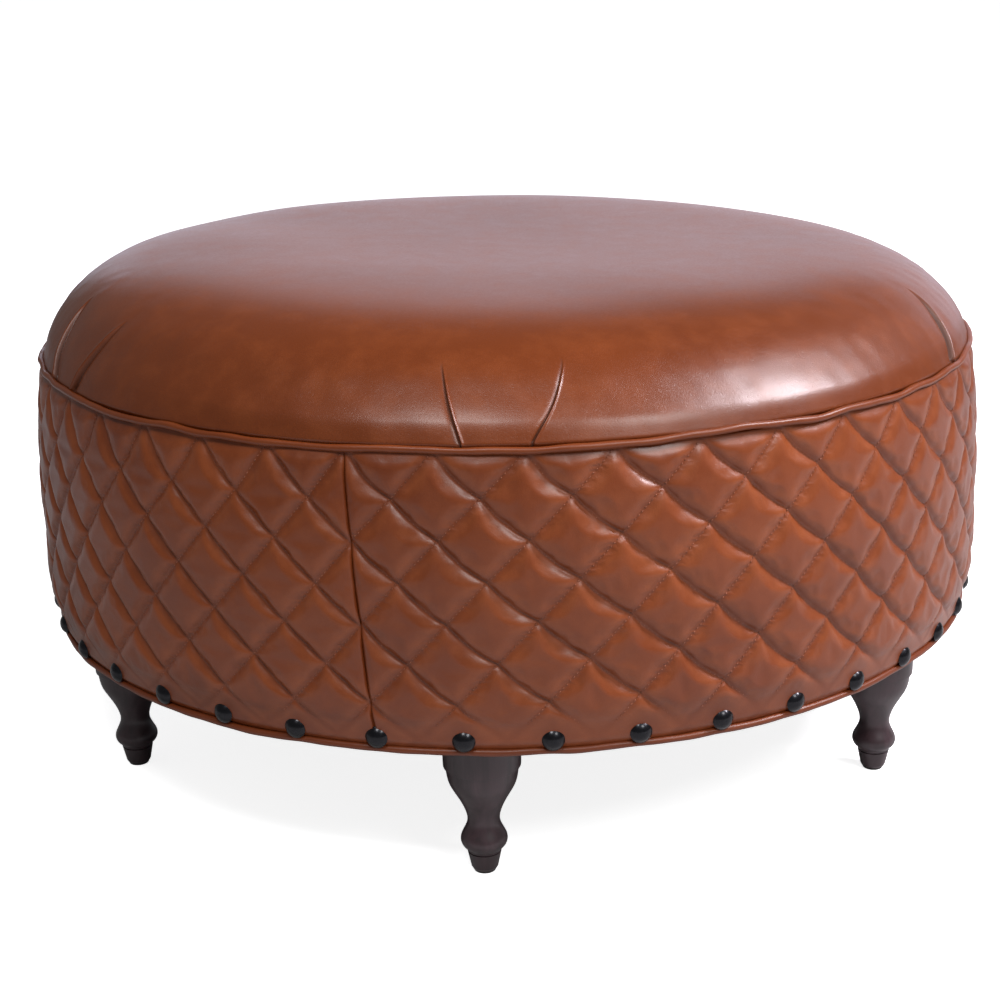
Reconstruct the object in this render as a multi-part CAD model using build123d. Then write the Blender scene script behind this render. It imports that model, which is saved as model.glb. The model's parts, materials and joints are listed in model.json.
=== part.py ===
from build123d import *
import os
from math import sqrt

# A large round upholstered ottoman.  Two plywood rings on six posts carry a fibreboard wall,
# a pleated leather seat above and a quilted leather band around, on six turned legs.
# Millimetres, +Z up, origin on the floor under the centre.  Azimuths are in degrees about Z,
# 0 at the -Y side (leg_1), growing towards +X.

# Driving dimensions: overall shape
SEAM_Z = 388.0              # top piping, centre height
SEAM_R = 457.0              # top piping, centre radius
SEAT_CROWN = 90.0           # seat top above the top piping
SEAT_ROUNDNESS = 11         # power of the crown formula, higher is a squarer edge
BAND_BOTTOM_R = 462.0
BAND_BULGE = 8.7            # how far the middle of the band stands beyond its edges
BAND_THICKNESS = 7.0
BASE_PIPING_Z = 133.0
BASE_PIPING_R = 460.5
CLEARANCE = 0.3             # between neighbouring soft layers

# Piping
PIPING_R = 3.5              # outside radius of the leather tube
PIPING_LEATHER = 1.2
PIPING_FLANGE = 9.0         # flat sewing edge behind the tube
PIPING_SLIT = 0.2

# Leather, padding and seat layers
LEATHER = 1.6
WRAP_THICKNESS = 10.0
HESSIAN_THICKNESS = 0.8
HESSIAN_R = 441.0
DUST_COVER_R = 436.0
DUST_COVER_THICKNESS = 0.8
BAND_PANELS = 3
PANEL_SEAM_AZIMUTH = -11.2
PANEL_GAP_DEG = 0.05

# Frame
RING_OUTER_R = 446.0
RING_WIDTH = 74.0
RING_THICKNESS = 18.0
BOTTOM_RING_Z = 134.4
TOP_RING_Z = 362.0
POST_COUNT = 6
POST_AZIMUTH = 30.0
POST_ACROSS = 60.0
POST_DEEP = 44.0
BOARD_THICKNESS = 3.0
BLOCK_ACROSS = 80.0
BLOCK_DEEP = 64.0
BLOCK_HEIGHT = 35.0

# Webbing: strap centre lines, repeated along and across
STRAP_WIDTH = 50.0
STRAP_THICKNESS = 1.4
STRAP_PITCH = 75.0
STRAPS_EACH_SIDE = 3
STRAP_END_R = 436.0

# Legs
LEG_COUNT = 6
LEG_CIRCLE_R = 412.0
LEG_TOP_Z = 133.2
LEG_TOP_R = 33.4
LEG_NECK = (14.0, 47.5)     # radius, height
LEG_BULB = (20.2, 30.5)
LEG_COLLAR = (14.6, 18.6)
LEG_FOOT_R = 11.6
GLIDE_R = 9.5
GLIDE_THICKNESS = 2.5
GLIDE_PIN_R = 1.2
GLIDE_PIN_TOP = 14.0

# Fasteners
NAIL_COUNT = 40
NAIL_AZIMUTH = -1.2
NAIL_Z = 144.0
NAIL_HEAD_R = 9.5
NAIL_HEAD_HEIGHT = 5.0
NAIL_SHEET = 0.9
NAIL_SHANK_R = 1.3
NAIL_SHANK_LENGTH = 24.0
BOLT_R = 4.0
BOLT_IN_LEG = 38.0
BOLT_ABOVE_BLOCK = 4.0
T_NUT_WALL = 1.2
T_NUT_BARREL = 11.5
T_NUT_FLANGE_R = 10.0
T_NUT_FLANGE_THICKNESS = 1.5
SCREW_R = 2.2
SCREW_HEAD_R = 4.4
SCREW_HEAD_HEIGHT = 2.6
SCREW_LENGTH = 45.0
SCREW_POINT = 4.0
RING_SCREW_CIRCLE_R = 424.0
RING_SCREW_APART = 30.0
BLOCK_SCREW_APART = 56.0
HOLE_CLEARANCE = 0.05
STAPLE_CROWN = 10.0
STAPLE_WIRE = 0.6
STAPLE_LEG = 8.0
STAPLES_PER_SECTOR = 9
STAPLE_PITCH_DEG = 5.5
STRAP_STAPLE_INSET = 10.0
STRAP_STAPLE_PITCH = 15.0
CLOTH_STAPLE_R = 430.0
TACK_STAPLE_COUNT = 48
TACK_STAPLE_AZIMUTH = 2.0

# Derived heights and radii
RING_INNER_R = RING_OUTER_R - RING_WIDTH
BOTTOM_RING_TOP = BOTTOM_RING_Z + RING_THICKNESS
TOP_RING_TOP = TOP_RING_Z + RING_THICKNESS
BLOCK_TOP = BOTTOM_RING_TOP + BLOCK_HEIGHT
BAND_LOW_Z = BASE_PIPING_Z + PIPING_R + 0.5
BAND_HIGH_Z = SEAM_Z - PIPING_R - CLEARANCE
BAND_TOP_R = SEAM_R + 1.5
BOARD_INNER_R = RING_OUTER_R + CLEARANCE
BOARD_OUTER_R = BOARD_INNER_R + BOARD_THICKNESS
PADDING_INNER_R = BOARD_OUTER_R + CLEARANCE
TACK_STRIP_OUTER_R = PADDING_INNER_R + 1.0
TACK_STRIP_LOW_Z = TOP_RING_Z + 8.0
TACK_STAPLE_Z = TOP_RING_TOP - 6.0
SEAT_EDGE_Z = SEAM_Z + PIPING_R + 0.4
STRAP_Z = TOP_RING_TOP + CLEARANCE
UPPER_STRAP_Z = STRAP_Z + STRAP_THICKNESS + CLEARANCE
STAPLE_TOP_Z = UPPER_STRAP_Z + STRAP_THICKNESS + STAPLE_WIRE
HESSIAN_Z = STAPLE_TOP_Z + 0.1
FOAM_Z = HESSIAN_Z + HESSIAN_THICKNESS + 0.2
DUST_COVER_TOP = BOTTOM_RING_Z - 0.2
DUST_COVER_LOW = DUST_COVER_TOP - DUST_COVER_THICKNESS


def lathe(outline, sweep=360):
    """Turn a closed outline, drawn as (radius, height) in the XZ plane, about the Z axis."""
    return revolve(make_face(outline), Axis.Z, sweep)


def at(radius, height):
    return (radius, 0, height)


def line_through(*points):
    return Polyline(*[at(*point) for point in points])


def place(shape, azimuth):
    """Turn a shape that was drawn on the -Y side to its azimuth."""
    return Rot(0, 0, azimuth) * shape


def around(shape, count, first=0.0):
    return [place(shape, first + 360.0 * i / count) for i in range(count)]


def disc(radius, low, high):
    return Pos(0, 0, low) * Cylinder(radius, high - low, align=(Align.CENTER, Align.CENTER, Align.MIN))


def washer(inner, outer, low, high):
    return disc(outer, low, high) - disc(inner, low, high)


def block(across, deep, height, radius, low):
    """A box centred at a radius on the -Y side, standing on a height."""
    box = Box(across, deep, height, align=(Align.CENTER, Align.CENTER, Align.MIN))
    return Pos(0, -radius, low) * box


def rod(radius, low, high, across=0.0, out=LEG_CIRCLE_R):
    return Pos(across, -out, 0) * disc(radius, low, high)


def save(node, *solids):
    bodies = [solid for shape in solids for solid in shape.solids()]
    export_step(bodies[0] if len(bodies) == 1 else Compound(children=bodies), f"parts/{node}.step")


def band_radius(height):
    """Outside radius of the quilted band, bulging between its two edges."""
    t = (height - BAND_LOW_Z) / (BAND_HIGH_Z - BAND_LOW_Z)
    return BAND_BOTTOM_R + (BAND_TOP_R - BAND_BOTTOM_R) * t + BAND_BULGE * 4 * t * (1 - t)


def band_arc(low, high, inset):
    heights = (low, (low + high) / 2, high)
    return ThreePointArc(*[at(band_radius(z) - inset, z) for z in heights])


def bulged_wall(low, high, outer_inset, inner_edge, sweep=360):
    """Wall with the band's bulged outside; inner_edge gives the inside from high to low."""
    outer = band_arc(low, high, outer_inset)
    ends = (outer @ 0, outer @ 1)
    joins = [Line(ends[1], inner_edge @ 0), Line(inner_edge @ 1, ends[0])]
    return lathe([outer, joins[0], inner_edge, joins[1]], sweep)


def crown_radius(rise, radius, height):
    return radius * (1 - rise / height) ** (1 / SEAT_ROUNDNESS)


def crown_curve(inset, low):
    """Seat section at an inset from the leather's outside, from its edge at low up to the axis."""
    radius = SEAM_R - inset
    height = SEAT_CROWN - inset
    first = (low - SEAM_Z) / height
    shares = [first + (1 - first) * share for share in (0, 0.13, 0.28, 0.45, 0.62, 0.78, 0.9, 0.97)]
    points = [at(crown_radius(share * height, radius, height), SEAM_Z + share * height) for share in shares]
    points += [at(radius * 0.5, SEAM_Z + height), at(0, SEAM_Z + height)]
    slope = -radius / (SEAT_ROUNDNESS * height) * (1 - first) ** (1 / SEAT_ROUNDNESS - 1)
    return Spline(*points, tangents=((slope, 0, 1), (-1, 0, 0)))


def seat_layer(outer_inset, inner_inset, low):
    outer = crown_curve(outer_inset, low)
    inner = crown_curve(inner_inset, low)
    return lathe([outer, Line(outer @ 1, inner @ 1), inner, Line(inner @ 0, outer @ 0)])


def seat_foam():
    outer = crown_curve(LEATHER + WRAP_THICKNESS + 2 * CLEARANCE, SEAT_EDGE_Z)
    edge = (outer @ 0).X
    rest = line_through((0, SEAM_Z + SEAT_CROWN - LEATHER - WRAP_THICKNESS - 2 * CLEARANCE), (0, FOAM_Z),
                        (edge, FOAM_Z), (edge, SEAT_EDGE_Z))
    return lathe([outer, *rest.edges()])


def piping(radius, height):
    """Leather folded round a cord, with its two plies kept apart by a slit, and the cord itself."""
    centre = Pos(radius, 0, height) * Rot(90, 0, 0)
    hollow_r = PIPING_R - PIPING_LEATHER
    reach = PIPING_FLANGE + PIPING_R
    flange = centre * Pos(-reach / 2, 0) * Rectangle(reach, PIPING_LEATHER)
    slit = centre * Pos(-reach / 2, 0) * Rectangle(reach + 1, PIPING_SLIT)
    leather = centre * Circle(PIPING_R) + flange - centre * Circle(hollow_r) - slit
    cord = centre * Circle(hollow_r - HOLE_CLEARANCE)
    return revolve(leather, Axis.Z, 360), revolve(cord, Axis.Z, 360)


def leg():
    """One turned leg at radius zero, with bores for its bolt and for its glide's pin."""
    collar_r, collar_z = LEG_COLLAR
    bulb_r, bulb_z = LEG_BULB
    neck_r, neck_z = LEG_NECK
    body = Spline(at(collar_r - 0.2, collar_z + 1.0), at(bulb_r - 2.4, bulb_z - 6.3), at(bulb_r, bulb_z),
                  at(bulb_r - 2.0, bulb_z + 6.4), at(neck_r, neck_z), at(neck_r + 1.8, neck_z + 11),
                  at(20.8, 69.5), at(26.4, 79.4), at(30.2, 90.0), at(32.4, 105.0), at(LEG_TOP_R, 120.0),
                  tangents=((0.2, 0, 1), (0, 0, 1)))
    top = line_through((LEG_TOP_R, 120.0), (LEG_TOP_R, LEG_TOP_Z), (0, LEG_TOP_Z), (0, GLIDE_THICKNESS),
                       (LEG_FOOT_R - 1.2, GLIDE_THICKNESS))
    foot = line_through((LEG_FOOT_R - 1.2, GLIDE_THICKNESS), (LEG_FOOT_R, GLIDE_THICKNESS + 2.0),
                        (collar_r, collar_z), (collar_r - 0.9, collar_z + 0.4),
                        (collar_r - 0.2, collar_z + 1.0))
    solid = lathe([body, *top.edges(), *foot.edges()])
    solid -= disc(BOLT_R + HOLE_CLEARANCE, LEG_TOP_Z - BOLT_IN_LEG - 0.5, LEG_TOP_Z)
    return solid - disc(GLIDE_PIN_R + HOLE_CLEARANCE, GLIDE_THICKNESS, GLIDE_PIN_TOP + 0.5)


def foot_glide():
    pad = disc(GLIDE_R, 0, GLIDE_THICKNESS)
    pad = fillet(pad.edges().sort_by(Axis.Z)[0], 1.0)
    return pad + disc(GLIDE_PIN_R, GLIDE_THICKNESS - 0.5, GLIDE_PIN_TOP)


def screw(head_z, upwards, fat=0.0):
    """Countersunk wood screw on the Z axis, its head at head_z; fat makes the hole for it."""
    outline = line_through((0, 0), (SCREW_HEAD_R + fat, 0), (SCREW_R + fat, SCREW_HEAD_HEIGHT),
                           (SCREW_R + fat, SCREW_LENGTH - SCREW_POINT), (0, SCREW_LENGTH + fat), (0, 0))
    solid = lathe(outline)
    return Pos(0, 0, head_z) * (solid if upwards else Rot(180, 0, 0) * solid)


def ring_screw_pairs(fat=0.0):
    """Two screws down through the top ring and two up through the bottom ring, at every post."""
    screws = [screw(TOP_RING_TOP, False, fat), screw(BOTTOM_RING_Z, True, fat)]
    spots = [Pos(side * RING_SCREW_APART / 2, -RING_SCREW_CIRCLE_R, 0) for side in (-1, 1)]
    return [one for spot in spots for each in screws for one in around(spot * each, POST_COUNT, POST_AZIMUTH)]


def block_screw_pairs(fat=0.0):
    """Two screws down through every leg block into the bottom ring."""
    spots = [Pos(side * BLOCK_SCREW_APART / 2, -LEG_CIRCLE_R, 0) for side in (-1, 1)]
    return [one for spot in spots for one in around(spot * screw(BLOCK_TOP, False, fat), LEG_COUNT)]


def dome_nail():
    """Upholstery nail along +Z: a thin stamped dome and its shank, base of the dome at zero."""
    shoulder = (NAIL_HEAD_R * 0.62, NAIL_HEAD_HEIGHT * 0.72)
    outer = ThreePointArc(at(0, NAIL_HEAD_HEIGHT), at(*shoulder), at(NAIL_HEAD_R, 0))
    inner_top = NAIL_HEAD_HEIGHT - NAIL_SHEET
    inner_r = NAIL_HEAD_R - NAIL_SHEET
    shoulder = (inner_r * 0.62, inner_top * 0.72)
    inner = ThreePointArc(at(inner_r, 0), at(*shoulder), at(NAIL_SHANK_R, inner_top - 0.1))
    rim = Line(outer @ 1, inner @ 0)
    shank = line_through((NAIL_SHANK_R, inner_top - 0.1), (NAIL_SHANK_R, 3 - NAIL_SHANK_LENGTH),
                         (0, -NAIL_SHANK_LENGTH), (0, NAIL_HEAD_HEIGHT))
    return lathe([outer, rim, inner, *shank.edges()])


def facing_out(shape, radius, height):
    """Turn a shape drawn along +Z to point outwards at the -Y side."""
    return Pos(0, -radius, height) * Rot(90, 0, 0) * shape


def staple(fat=0.0):
    """Staple drawn points down, crown along X, with the underside of its crown at zero."""
    wire = STAPLE_WIRE + 2 * fat
    low = (Align.CENTER, Align.CENTER, Align.MIN)
    crown = Pos(0, 0, -fat) * Box(STAPLE_CROWN + 2 * fat, wire, wire, align=low)
    side = (STAPLE_CROWN - STAPLE_WIRE) / 2
    prong = Box(wire, wire, STAPLE_LEG + STAPLE_WIRE + fat, align=(Align.CENTER, Align.CENTER, Align.MAX))
    prongs = [Pos(x, 0, STAPLE_WIRE / 2) * prong for x in (-side, side)]
    return crown + prongs


def web_staples(fat=0.0):
    """Three staples across each strap end, for both directions of webbing."""
    one = Pos(0, 0, UPPER_STRAP_Z + STRAP_THICKNESS) * staple(fat)
    staples = []
    for offset in strap_offsets():
        end = strap_half_length(offset) - STRAP_STAPLE_INSET
        row = (-STRAP_STAPLE_PITCH, 0, STRAP_STAPLE_PITCH)
        spots = [Pos(offset + across, side * end, 0) for across in row for side in (-1, 1)]
        staples += [turn * spot * one for spot in spots for turn in (Rot(0, 0, 0), Rot(0, 0, 90))]
    return staples


def cloth_staples(fat=0.0):
    """Staples up through the dust cover, in a row between each two legs."""
    one = Pos(0, -CLOTH_STAPLE_R, DUST_COVER_LOW) * Rot(180, 0, 0) * staple(fat)
    half_row = STAPLE_PITCH_DEG * (STAPLES_PER_SECTOR - 1) / 2
    row = [POST_AZIMUTH - half_row + STAPLE_PITCH_DEG * i for i in range(STAPLES_PER_SECTOR)]
    return [solid for azimuth in row for solid in around(one, LEG_COUNT, azimuth)]


def tack_staples(fat=0.0):
    """Staples through the tack strip into the edge of the top ring."""
    one = facing_out(staple(fat), TACK_STRIP_OUTER_R, TACK_STAPLE_Z)
    return around(one, TACK_STAPLE_COUNT, TACK_STAPLE_AZIMUTH)


def strap_offsets():
    return [STRAP_PITCH * i for i in range(-STRAPS_EACH_SIDE, STRAPS_EACH_SIDE + 1)]


def strap_half_length(offset):
    return sqrt(STRAP_END_R ** 2 - (abs(offset) + STRAP_WIDTH / 2) ** 2)


def straps(low):
    solids = []
    for offset in strap_offsets():
        strap = Box(STRAP_WIDTH, 2 * strap_half_length(offset), STRAP_THICKNESS,
                    align=(Align.CENTER, Align.CENTER, Align.MIN))
        solids.append(Pos(offset, 0, low) * strap)
    return solids


def cut(shapes, tools):
    return [shape - tools for shape in shapes]


os.makedirs("parts", exist_ok=True)

# Fasteners first, because the pieces they pass through are cut for them.
nail_base_r = band_radius(NAIL_Z + NAIL_HEAD_R) + CLEARANCE
nails = around(facing_out(dome_nail(), nail_base_r, NAIL_Z), NAIL_COUNT, NAIL_AZIMUTH)
nail_bore = Cylinder(NAIL_SHANK_R + HOLE_CLEARANCE, NAIL_SHANK_LENGTH + 0.5,
                     align=(Align.CENTER, Align.CENTER, Align.MAX))
nail_bores = around(facing_out(nail_bore, nail_base_r, NAIL_Z), NAIL_COUNT, NAIL_AZIMUTH)

bolt_top = BLOCK_TOP + BOLT_ABOVE_BLOCK
bolt_bore = rod(BOLT_R + HOLE_CLEARANCE, LEG_TOP_Z - 1, bolt_top)
bolt_bores = around(bolt_bore, LEG_COUNT)
t_nut_barrel_r = BOLT_R + T_NUT_WALL
t_nut_bore = rod(t_nut_barrel_r + HOLE_CLEARANCE, BLOCK_TOP - T_NUT_BARREL - 0.5, BLOCK_TOP)

ring_screw_holes = ring_screw_pairs(HOLE_CLEARANCE)
block_screw_holes = block_screw_pairs(HOLE_CLEARANCE)
cloth_staple_cuts = cloth_staples(HOLE_CLEARANCE)
web_staple_cuts = web_staples(HOLE_CLEARANCE)
tack_staple_cuts = tack_staples(HOLE_CLEARANCE)

save("dome_nails", *nails)
save("dust_cover_staples", *cloth_staples())
save("webbing_staples", *web_staples())
save("tack_strip_staples", *tack_staples())
save("ring_screws", *ring_screw_pairs())
save("block_screws", *block_screw_pairs())
save("leg_bolts", *around(rod(BOLT_R, LEG_TOP_Z - BOLT_IN_LEG, bolt_top), LEG_COUNT))
t_nut = rod(T_NUT_FLANGE_R, BLOCK_TOP, BLOCK_TOP + T_NUT_FLANGE_THICKNESS)
t_nut = t_nut + rod(t_nut_barrel_r, BLOCK_TOP - T_NUT_BARREL, BLOCK_TOP) - bolt_bore
save("t_nuts", *around(t_nut, LEG_COUNT))

# Frame
top_ring = washer(RING_INNER_R, RING_OUTER_R, TOP_RING_Z, TOP_RING_TOP)
save("top_ring", top_ring - ring_screw_holes - web_staple_cuts - tack_staple_cuts)
bottom_ring = washer(RING_INNER_R, RING_OUTER_R, BOTTOM_RING_Z, BOTTOM_RING_TOP)
bottom_ring = bottom_ring - ring_screw_holes - block_screw_holes - bolt_bores
save("bottom_ring", bottom_ring - nail_bores - cloth_staple_cuts)

post = block(POST_ACROSS, POST_DEEP, TOP_RING_Z - BOTTOM_RING_TOP, LEG_CIRCLE_R, BOTTOM_RING_TOP)
posts = cut(around(post, POST_COUNT, POST_AZIMUTH), ring_screw_holes)
leg_block = block(BLOCK_ACROSS, BLOCK_DEEP, BLOCK_HEIGHT, LEG_CIRCLE_R, BOTTOM_RING_TOP)
leg_blocks = cut(around(leg_block - bolt_bore - t_nut_bore, LEG_COUNT), block_screw_holes)
legs = around(Pos(0, -LEG_CIRCLE_R, 0) * leg(), LEG_COUNT)
for number in range(LEG_COUNT):
    save(f"post_{number + 1}", posts[number])
    save(f"leg_block_{number + 1}", leg_blocks[number])
    save(f"leg_{number + 1}", legs[number])
save("foot_glides", *around(Pos(0, -LEG_CIRCLE_R, 0) * foot_glide(), LEG_COUNT))

side_board = washer(BOARD_INNER_R, BOARD_OUTER_R, BOTTOM_RING_Z + 0.2, TOP_RING_TOP)
save("side_board", side_board - nail_bores - tack_staple_cuts)
tack_strip = washer(PADDING_INNER_R, TACK_STRIP_OUTER_R, TACK_STRIP_LOW_Z, TOP_RING_TOP)
save("tack_strip", tack_strip - tack_staple_cuts)

# Seat support
webbing_along = cut(straps(STRAP_Z), web_staple_cuts)
webbing_across = cut([Rot(0, 0, 90) * strap for strap in straps(UPPER_STRAP_Z)], web_staple_cuts)
save("webbing_along", *webbing_along)
save("webbing_across", *webbing_across)
save("seat_hessian", disc(HESSIAN_R, HESSIAN_Z, HESSIAN_Z + HESSIAN_THICKNESS))

# Seat
save("seat_foam", seat_foam())
wrap_inset = LEATHER + CLEARANCE
save("seat_wrap", seat_layer(wrap_inset, wrap_inset + WRAP_THICKNESS, SEAT_EDGE_Z))
save("seat_cover", seat_layer(0, LEATHER, SEAT_EDGE_Z))

# Band
padding_inset = BAND_THICKNESS + CLEARANCE
padding_high_z = TACK_STRIP_LOW_Z - 1
padding_inside = line_through((PADDING_INNER_R, padding_high_z), (PADDING_INNER_R, BAND_LOW_Z))
side_padding = bulged_wall(BAND_LOW_Z, padding_high_z, padding_inset, padding_inside)
save("side_padding", side_padding - nail_bores)

panel_sweep = 360.0 / BAND_PANELS - PANEL_GAP_DEG
panel_inside = band_arc(BAND_HIGH_Z, BAND_LOW_Z, BAND_THICKNESS)
panel = Rot(0, 0, -90) * bulged_wall(BAND_LOW_Z, BAND_HIGH_Z, 0, panel_inside, panel_sweep)
panels = cut(around(panel, BAND_PANELS, PANEL_SEAM_AZIMUTH), nail_bores)
for number in range(BAND_PANELS):
    save(f"band_panel_{number + 1}", panels[number])

# Piping
for name, radius, height in (("top", SEAM_R, SEAM_Z), ("bottom", BASE_PIPING_R, BASE_PIPING_Z)):
    leather_tube, cord = piping(radius, height)
    save(f"{name}_piping_leather", leather_tube)
    save(f"{name}_piping_cord", cord)

# Dust cover
dust_cover = disc(DUST_COVER_R, DUST_COVER_LOW, DUST_COVER_TOP)
save("dust_cover", dust_cover - bolt_bores - cloth_staple_cuts)
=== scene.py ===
import json
import math

import bpy
import numpy as np
from mathutils import Matrix, Vector


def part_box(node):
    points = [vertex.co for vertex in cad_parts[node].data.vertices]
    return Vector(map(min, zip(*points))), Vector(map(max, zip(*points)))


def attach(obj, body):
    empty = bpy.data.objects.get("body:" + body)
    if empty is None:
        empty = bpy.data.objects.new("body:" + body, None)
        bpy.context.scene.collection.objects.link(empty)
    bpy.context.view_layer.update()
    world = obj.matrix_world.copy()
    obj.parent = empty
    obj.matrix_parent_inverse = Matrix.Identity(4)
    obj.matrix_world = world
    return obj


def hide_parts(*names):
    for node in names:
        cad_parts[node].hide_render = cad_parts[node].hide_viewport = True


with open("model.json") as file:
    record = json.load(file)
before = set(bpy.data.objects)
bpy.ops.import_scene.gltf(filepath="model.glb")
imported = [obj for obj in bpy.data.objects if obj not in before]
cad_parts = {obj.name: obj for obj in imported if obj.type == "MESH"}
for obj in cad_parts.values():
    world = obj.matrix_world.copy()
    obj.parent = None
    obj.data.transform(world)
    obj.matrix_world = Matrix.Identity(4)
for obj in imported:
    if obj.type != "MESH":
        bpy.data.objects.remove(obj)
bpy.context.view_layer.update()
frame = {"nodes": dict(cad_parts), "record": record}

# A round quilted-leather ottoman.  Metres; azimuths in degrees, 0 at -Y, growing towards +X.

# Camera
CAMERA_AZIMUTH = 3.9
CAMERA_DISTANCE = 1.8
CAMERA_HEIGHT = 0.768
CAMERA_PITCH = 17.4
CAMERA_YAW = -0.29
CAMERA_ROLL = 1.49
CAMERA_LENS = 64.9
WORLD_LIGHT = 0.18
FLOOR_GLOW = 0.84           # seen by the camera only, so that the background is white
FLOOR_TONE = 0.50           # what the floor gives back to the object
FLOOR_REACH = 30
# Name, place, aim, width, height, watts and colour
STUDIO_LIGHTS = (
    ("front_softbox", (-0.32, -1.80, 2.75), (0.0, -0.35, 0.42), 0.9, 0.7, 34, (1, 1, 1)),
    ("side_softbox", (1.45, -1.80, 2.10), (0.1, -0.1, 0.40), 0.9, 0.8, 32, (1, 1, 1)),
    ("right_softbox", (2.80, -0.22, 2.95), (0.2, 0, 0.40), 0.8, 1.25, 185, (1.0, 0.94, 1.0)),
    ("back_wall", (0.3, 2.9, 0.78), (0, 0, 0.45), 4.4, 1.25, 20, (0.82, 0.83, 1.0)),
)

# Seat
CROWN_POWER = 11
SEAT_LEATHER = 0.0016
SEAT_LEAN = 0.0102          # the left side of the crown stands this much higher, the right lower
SEAT_LEAN_HEIGHT = 0.09     # and reaches it this high above the piping
SEAT_DISH = 0.006
SEAT_DISH_R = 0.25
SEAT_FRONT_DROP = 0.009
TUCK_PAIRS = 6
LONE_TUCK = 1               # this pair, on the right, has one tuck only
TUCK_PAIR_AZIMUTH = 2.8     # middle of the front pair
TUCK_SPREAD = 3.5           # half the angle between the two tucks of a pair, at the piping
TUCK_FAN = 3.9              # how far each leans outwards by its top
TUCK_LENGTH = 0.078
TUCK_DEPTH = 0.0034
TUCK_LIP = 0.0022
TUCK_R = 0.455              # radius at which the width of a fold is measured
FRONT_FOLD = 0.68           # the folds of the front pair are this share as big
OTHER_FOLD = 1.4
FIRST_TUCK_LEAN = 0.65      # the first tuck leans less than the others
SEAT_SWELL = 0.0028         # the crown bulges over its piping

# Quilted band
BAND_BOTTOM_R = 0.462
BAND_EDGE_DROP = 0.0035     # radius lost from the bottom edge to the top edge
BAND_BULGE = 0.0087
BAND_BELLY = 0.0036         # extra fullness just above the nails
BELLY_RISE = 0.027          # its height above them
BELLY_SPREAD = (0.015, 0.030)       # and its extent down and up
BAND_MEAN_R = 0.465
BAND_THICKNESS = 0.007
PANELS = 3
SEAM_AZIMUTH = -12.55       # first panel seam, at the band's top edge
SEAM_SLANT = 0.33           # degrees for each row of the quilting
HALF_DIAMOND = (4.5, 4.5, 4.22)     # degrees, for each panel
ROW = 0.0343                # half a diamond's height
FIRST_ROW_DEPTH = 0.0027    # below the top piping's centre
ROW_SAG = (0.0055, 0.0065, 62.0)    # how far the rows hang: mean, swing and azimuth of the lowest
SCALLOP = (0.055, 0.055, 0.018)     # in rows, for each panel
CELLS = 12                  # mesh cells across half a diamond
PUFF = 0.0015               # diamonds stand this far outside the CAD wall
GROOVE = (0.0043, 0.0043, 0.0033)   # groove bottoms are this far inside it, for each panel
PUFF_POWER = 4.6
RISING_GROOVE = (0.5, 0.5, 0.85)    # the lines that rise to the right are this share as deep
CRESCENT = (0.55, 0.55, 0.25)       # the edges roll off this much wider halfway along a side
QUILT_FADE = (0.148, 0.182) # the quilting begins between these heights
SEAM_PUFF_WIDTH = 0.011
SEAM_DIP = 0.6              # the panel seams are this share as deep as the grooves
CLOTH_FRAMES = 16
CLOTH_PRESSURE = 0.8
CLOTH_SLACK = 0.004
CLOTH_CAP = 0.0008
STITCH_PITCH = 0.0042
STITCH_LENGTH = 0.0028
STITCH_R = 0.00050
STITCH_SINK = 0.0005        # the ends of a stitch go this far into the leather
STITCH_ROW_LENGTH = 0.0499  # of a quilting line, for each row it crosses
RISING_STITCH_LIFT = 0.0003
FALLING_STITCH_LIFT = -0.0001
PANEL_END_STEPS = np.array([0.0, 0.012, 0.03, 0.055])   # mesh columns next to a seam, in half diamonds

# Inside and underneath
NAIL_HEAD_R = 0.0095
PADDING_GAP = 0.0012        # between the side padding and the quilted panels
PADDING_R = 0.46
DUST_CLOTH_HELD = 0.070     # its outer part lies flat between the bottom ring and the legs
DUST_CLOTH_SAG = 0.0045

rng = np.random.default_rng(7)


def azimuth_point(azimuth, radius, height):
    a = np.radians(azimuth)
    return np.stack([radius * np.sin(a), -radius * np.cos(a), height + 0 * a], axis=-1)


def new_mesh(name, points, faces, smooth=True):
    mesh = bpy.data.meshes.new(name)
    mesh.from_pydata(np.asarray(points).reshape(-1, 3).tolist(), [], faces)
    mesh.validate()
    mesh.update()
    if smooth:
        mesh.shade_smooth()
    obj = bpy.data.objects.new(name, mesh)
    bpy.context.scene.collection.objects.link(obj)
    return obj


def grid_faces(rows, columns, first=0, closed=False, flip=False):
    """Quads of a grid of points numbered row by row."""
    across = columns if closed else columns - 1
    r, c = np.meshgrid(np.arange(rows - 1), np.arange(across), indexing="ij")
    c2 = (c + 1) % columns
    below, above = r * columns, (r + 1) * columns
    quads = np.stack([below + c, below + c2, above + c2, above + c], axis=-1).reshape(-1, 4) + first
    return (quads[:, ::-1] if flip else quads).tolist()


class Waves:
    """A smooth uneven surface: a sum of plane waves of about one length."""

    def __init__(self, length, count=14):
        angle = rng.uniform(0, 2 * math.pi, count)
        size = 2 * math.pi / (length * rng.uniform(0.7, 1.5, count))
        self.kx, self.ky = size * np.cos(angle), size * np.sin(angle)
        self.phase = rng.uniform(0, 2 * math.pi, count)
        self.scale = math.sqrt(2.0 / count)

    def __call__(self, x, y):
        total = 0 * x
        for kx, ky, phase in zip(self.kx, self.ky, self.phase):
            total = total + np.sin(kx * x + ky * y + phase)
        return total * self.scale


def smooth_step(x, low, high):
    t = np.clip((x - low) / (high - low), 0, 1)
    return t * t * (3 - 2 * t)


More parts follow.
